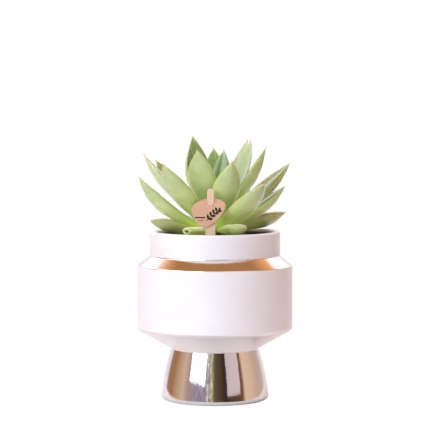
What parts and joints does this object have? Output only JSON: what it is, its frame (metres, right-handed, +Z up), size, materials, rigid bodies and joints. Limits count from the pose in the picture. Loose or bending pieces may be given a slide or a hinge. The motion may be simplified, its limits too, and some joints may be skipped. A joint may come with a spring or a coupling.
{
  "type": "potted succulent",
  "caption": "Pointed-leaf rosette succulent in a footed round ceramic pot with a silvered foot and shoulder, with soil and a wooden pick carrying a small card label.",
  "frame": {"origin": "centre of the foot's underside, on the surface that the pot stands on", "axes": "+Z up, front faces -Y where the pick and label stand, +X to the viewer's right"},
  "size_m": [0.125, 0.125, 0.211],
  "materials": {
    "white_glaze": "satin glaze",
    "silver_lustre": "mirror lustre fired over glaze",
    "black_plastic": "thin moulded polypropylene",
    "potting_soil": "damp peat with bark fibres",
    "stem_bark": "woody succulent stem",
    "leaf_green": "waxy bloom on fleshy leaf",
    "pick_wood": "sanded birch",
    "label_card": "kraft card with printed leaf sprig"
  },
  "bodies": {
    "root": {"ceramic_pot": "white_glaze", "nursery_pot": "black_plastic", "soil": "potting_soil", "stem": "stem_bark", "leaf_01": "leaf_green", "leaf_02": "leaf_green", "leaf_03": "leaf_green", "leaf_04": "leaf_green", "leaf_05": "leaf_green", "leaf_06": "leaf_green", "leaf_07": "leaf_green", "leaf_08": "leaf_green", "leaf_09": "leaf_green", "leaf_10": "leaf_green", "leaf_11": "leaf_green", "leaf_12": "leaf_green", "leaf_13": "leaf_green", "leaf_14": "leaf_green", "leaf_15": "leaf_green", "leaf_16": "leaf_green", "leaf_17": "leaf_green", "leaf_18": "leaf_green", "leaf_19": "leaf_green", "leaf_20": "leaf_green", "leaf_21": "leaf_green", "leaf_22": "leaf_green", "leaf_23": "leaf_green", "leaf_24": "leaf_green", "leaf_25": "leaf_green", "leaf_26": "leaf_green", "leaf_27": "leaf_green", "leaf_28": "leaf_green", "leaf_29": "leaf_green", "leaf_30": "leaf_green", "leaf_31": "leaf_green", "leaf_32": "leaf_green", "wooden_pick": "pick_wood", "card_label": "label_card"}
  },
  "joints": []
}
